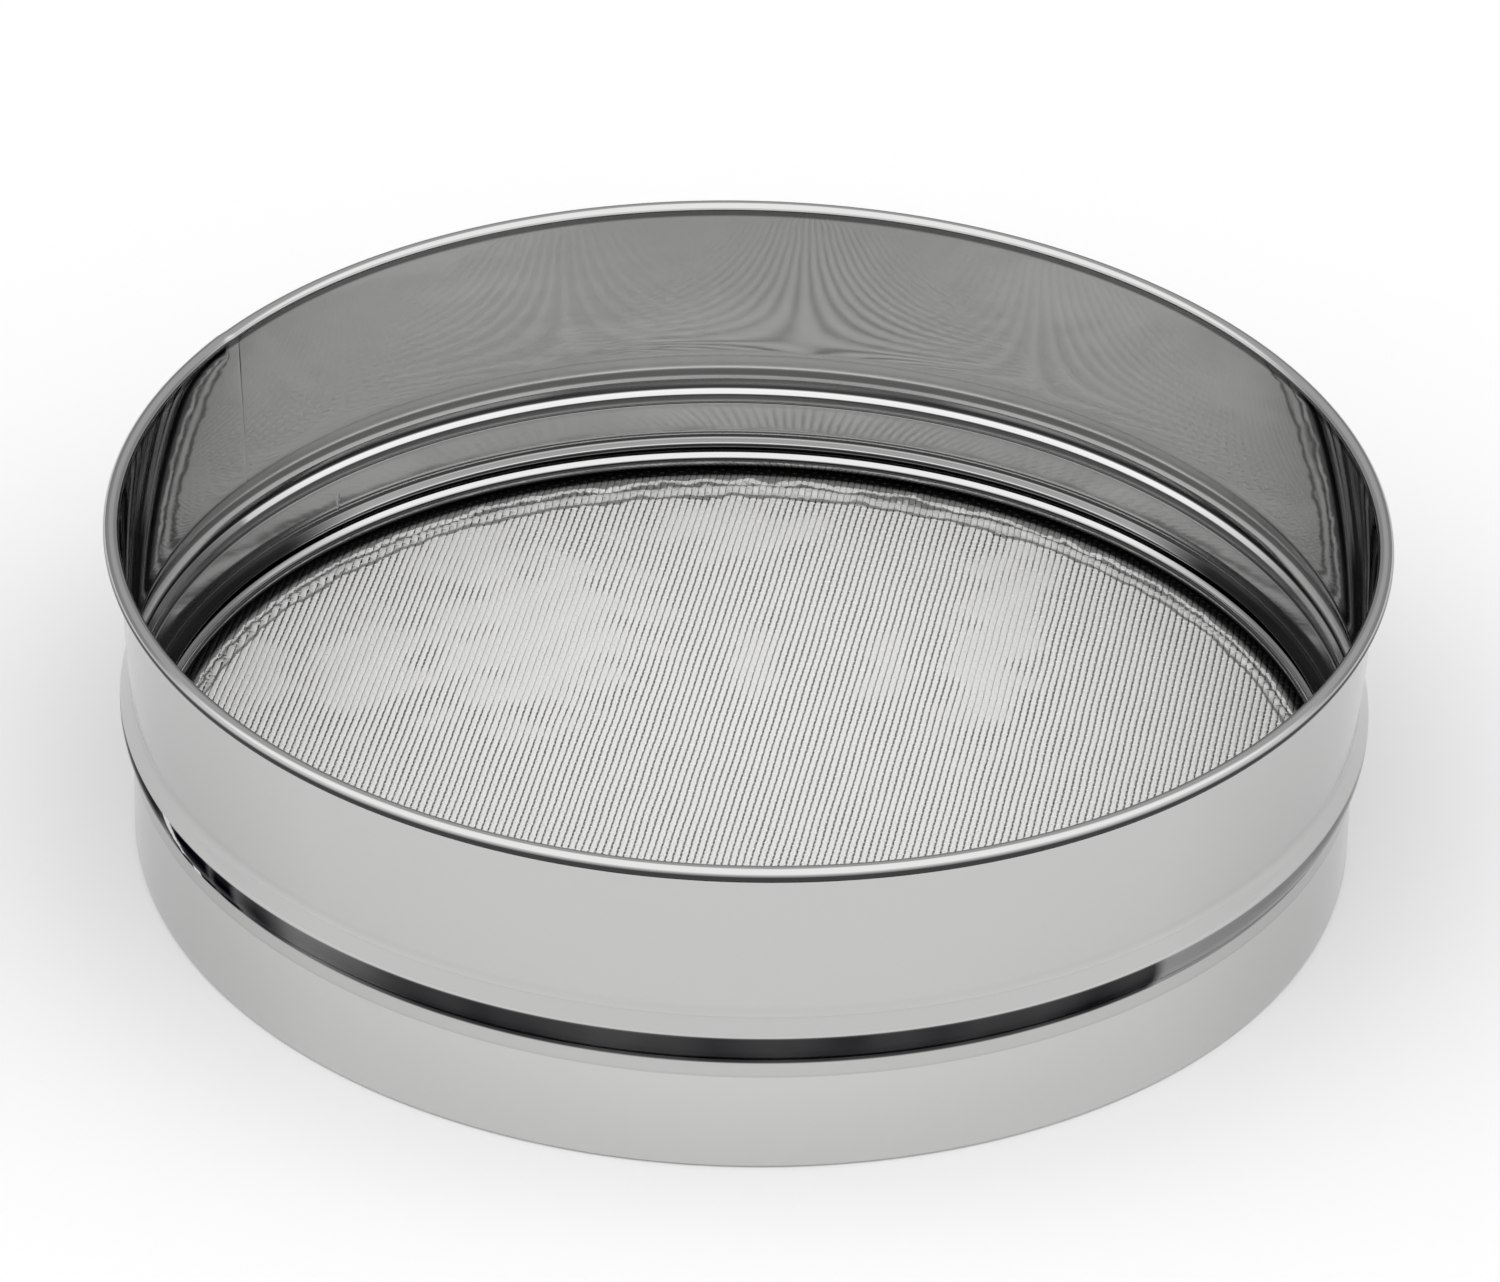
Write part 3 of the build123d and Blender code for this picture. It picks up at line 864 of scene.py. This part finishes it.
def clothHeight(s):
    swells, ripples, slides = (slowWaves(*s[key]) for key in ("swells", "ripples", "slides"))

    def height(x, y):
        # slow swells that die out at the clamp, and ridges that run along it
        z = s["swell"] * waveSum(swells, x, y) * rise(np.hypot(x, y), *s["swellEdge"])
        drawn = drawnRadius(s, x, y)
        window = np.sin(math.pi * rise(drawn, s["crinkleFrom"], s["crinkleTo"])) ** 2
        arc = np.arctan2(y, x) * s["ridgeRadius"]
        slide = s["slide"] * waveSum(slides, arc, 0 * arc)
        ripple = s["ripple"] * waveSum(ripples, arc, drawn * s["rippleAcross"])
        ridge = np.sin(2 * math.pi * (drawn + slide) / s["ridgePitch"]) + ripple
        return s["height"] + z + s["crinkle"] * window * ridge

    return height


def rubbedShare(s):
    clouds = slowWaves(*s["clouds"])
    turn = math.radians(s["turn"])

    def share(x, y):
        # 1 inside an ellipse laid along the warp and 0 outside, with a cloudy edge
        cloud = s["cloudy"] * waveSum(clouds, x, y)
        most = np.zeros(x.shape)
        for middleX, middleY, halfWidth, halfLength, rubbedFlat in s["rubbedPlaces"]:
            dx, dy = x - middleX, y - middleY
            across = (dx * math.cos(turn) + dy * math.sin(turn)) / halfWidth
            along = (dy * math.cos(turn) - dx * math.sin(turn)) / halfLength
            inside = rise(s["rubbedReach"] - np.hypot(across, along) + cloud, 0, s["rubbedFade"])
            most = np.maximum(most, rubbedFlat * inside)
        within = drawnRadius(s, x, y) - s["crinkleFrom"] + s["marginCloudy"] * cloud
        return np.maximum(most, rise(within, 0, s["marginFade"]))

    return share


def wovenWires(name, s, isWarp, surface, rubbed):
    # wires side by side at the pitch; each one's middle is a cosine, over one crossing wire and
    # under the next; neighbours do the opposite
    wire, pitch = s["warp" if isWarp else "weft"], s["pitch"]
    count = int(2 * s["edge"] / pitch) + 1
    turn = math.radians(s["turn"])
    xWay, yWay = np.array([math.cos(turn), math.sin(turn)]), np.array([-math.sin(turn), math.cos(turn)])
    along, across = (yWay, xWay) if isWarp else (xWay, yWay)
    wires = np.arange(count)[:, None]
    steps = np.arange((count - 1) * s["steps"] + 1)[None, :]
    offset = (wires - (count - 1) / 2) * pitch + 0 * steps
    u = (steps / s["steps"] - (count - 1) / 2) * pitch + 0 * wires
    offset = offset + s["wander"] * waveSum(slowWaves(*wire["strays"]), u, offset)
    kept = offset ** 2 + u ** 2 <= s["edge"] ** 2
    x, y = along[0] * u + across[0] * offset, along[1] * u + across[1] * offset
    over = np.cos(math.pi * (steps / s["steps"] + wires)) * wire["over"]
    middle = np.stack([x, y, surface(x, y) + (wire["level"] + wire["wave"] * over)], 2)
    # the section: a circle squared by its power and flattened
    sides = wire["sides"]
    angles = 2 * math.pi * np.arange(sides) / sides
    squared = np.sign(np.cos(angles)) * np.abs(np.cos(angles)) ** wire["power"]
    halfWidths = squared * wire["width"] / 2
    halfHeights = np.sin(angles) * wire["height"] / 2
    sidewards = np.stack([halfWidths * across[0], halfWidths * across[1], 0 * angles], 1)
    upwards = np.stack([0 * angles, 0 * angles, halfHeights], 1)
    flank = np.clip(1 - np.sin(angles) * s["topTurn"], 0, 1)
    topSide = np.clip(1 + np.sin(angles) * s["topTurn"], 0, 1)
    rubbedFlat = rubbed(x, y)
    breadth = (1 + wire["spread"] * rubbedFlat) * (1 - wire["bead"] * over)
    between = np.sin(math.pi * (steps / s["steps"] + 0 * wires)) ** 2 * wire["sunk"]
    share = np.cumsum(kept.sum(1)) / kept.sum()
    for part in range(s["parts"]):
        rows = (share > part / s["parts"]) & (share <= (part + 1) / s["parts"])
        mask = kept[rows]
        number = np.cumsum(mask.ravel()).reshape(mask.shape) - 1
        section = breadth[rows][mask][:, None, None] * sidewards + upwards
        points = (middle[rows][mask][:, None, :] + section).reshape(-1, 3) * mm
        # depth in the weave, painted as shade: a warp wire's flanks, and a weft wire between two warp
        # wires; where the warp is rubbed flat, only the weft's flanks keep some of the painted shade
        rubbedFlatHere = rubbedFlat[rows][mask][:, None]
        held = flank[None] * (1 if isWarp else rubbedFlatHere)
        depth = np.clip(between[rows][mask][:, None] + held, 0, 1).ravel()
        # the cloth is rubbed from above, so the undersides keep their painted shade
        unshadedShare = (rubbedFlatHere * topSide[None] * (1 - wire["flankKeeps"] * flank[None])).ravel()
        joined = mask[:, :-1] & mask[:, 1:]
        here, ahead = number[:, :-1][joined], number[:, 1:][joined]
        q = np.arange(sides)
        nextQ = (q + 1) % sides
        quads = np.stack([
            here[:, None] * sides + q, ahead[:, None] * sides + q,
            ahead[:, None] * sides + nextQ, here[:, None] * sides + nextQ,
        ], 2).reshape(-1, 4)
        # each wire's ends, closed by fans of four-sided faces
        first = mask & ~np.pad(mask[:, :-1], ((0, 0), (1, 0)))
        last = mask & ~np.pad(mask[:, 1:], ((0, 0), (0, 1)))
        for corner in range(0, sides - 2, 2):
            fan = np.array([0, corner + 1, corner + 2, corner + 3 if corner + 3 < sides else 0])
            quads = np.concatenate([
                quads, number[first][:, None] * sides + fan, number[last][:, None] * sides + fan[::-1],
            ])
        piece = meshPiece(f"{name}_{part + 1}", points, quads, wireSteel, "root",
                          ["mesh_cloth"], attributes={"depth": depth, "rubbed": unshadedShare})
        print("woven", piece.name, len(quads), "faces")


surface = clothHeight(cloth)
rubbed = rubbedShare(cloth)
wovenWires("warp_wires", cloth, True, surface, rubbed)
wovenWires("weft_wires", cloth, False, surface, rubbed)


# Floor and light
studio = {
    "floor": "#f7f7f7",
    "floorSize": 8.0,
    "floorDrop": 0.0001,         # below the drum's foot
    "skyLow": 0.95,              # brightness near the horizon
    "skyHigh": 1.4,              # brightness of the soft light overhead
    "skyFrom": 0.36, "skyTo": 0.52,   # sine of the height at which one turns to the other
    "backFrom": 0.18, "backTo": 0.50, # share of +Y in the direction at which the tent falls off
    "back": 0.40,                # brightness that is left there
}


def makeFloor(s):
    # a flat square under the drum's foot
    half, z = s["floorSize"] / 2, -s["floorDrop"]
    mesh = bpy.data.meshes.new("floor")
    corners = [(-half, -half, z), (half, -half, z), (half, half, z), (-half, half, z)]
    mesh.from_pydata(corners, [], [(0, 1, 2, 3)])
    material, tree = newMaterial("matt_white_paper")
    paper = addNode(tree, "ShaderNodeBsdfPrincipled", {
        "Base Color": linearFromHex(s["floor"]), "Roughness": 0.9, "Specular IOR Level": 0.1,
    })
    addNode(tree, "ShaderNodeOutputMaterial", {}, {"Surface": paper.outputs["BSDF"]})
    mesh.materials.append(material)
    floor = bpy.data.objects.new("floor", mesh)
    bpy.context.scene.collection.objects.link(floor)


def makeWorld(s):
    # a white tent: brightness grows from the horizon to the light overhead and falls off at the
    # back; the camera itself sees plain white
    world = bpy.data.worlds.new("white_tent")
    bpy.context.scene.world = world
    world.use_nodes = True
    tree = world.node_tree
    tree.nodes.clear()
    direction = addNode(tree, "ShaderNodeTexCoord")
    parts = addNode(tree, "ShaderNodeSeparateXYZ", {}, {"Vector": direction.outputs["Generated"]})
    sky = addNode(tree, "ShaderNodeMapRange", {
        "interpolation_type": "SMOOTHSTEP", "From Min": s["skyFrom"], "From Max": s["skyTo"],
        "To Min": s["skyLow"], "To Max": s["skyHigh"],
    }, {"Value": parts.outputs["Z"]})
    back = addNode(tree, "ShaderNodeMapRange", {
        "interpolation_type": "SMOOTHSTEP", "From Min": s["backFrom"], "From Max": s["backTo"],
        "To Min": 1.0, "To Max": s["back"],
    }, {"Value": parts.outputs["Y"]})
    strength = addNode(tree, "ShaderNodeMath", {"operation": "MULTIPLY"}, {
        0: sky.outputs["Result"], 1: back.outputs["Result"],
    })
    light = addNode(tree, "ShaderNodeBackground", {"Color": (1, 1, 1, 1)}, {
        "Strength": strength.outputs[0],
    })
    white = addNode(tree, "ShaderNodeBackground", {"Color": (1, 1, 1, 1), "Strength": 1.0})
    path = addNode(tree, "ShaderNodeLightPath")
    chosen = addNode(tree, "ShaderNodeMixShader", {}, {
        0: path.outputs["Is Camera Ray"], 1: light.outputs["Background"], 2: white.outputs["Background"],
    })
    addNode(tree, "ShaderNodeOutputWorld", {}, {"Surface": chosen.outputs["Shader"]})


makeFloor(studio)
makeWorld(studio)
print("floor and light made")
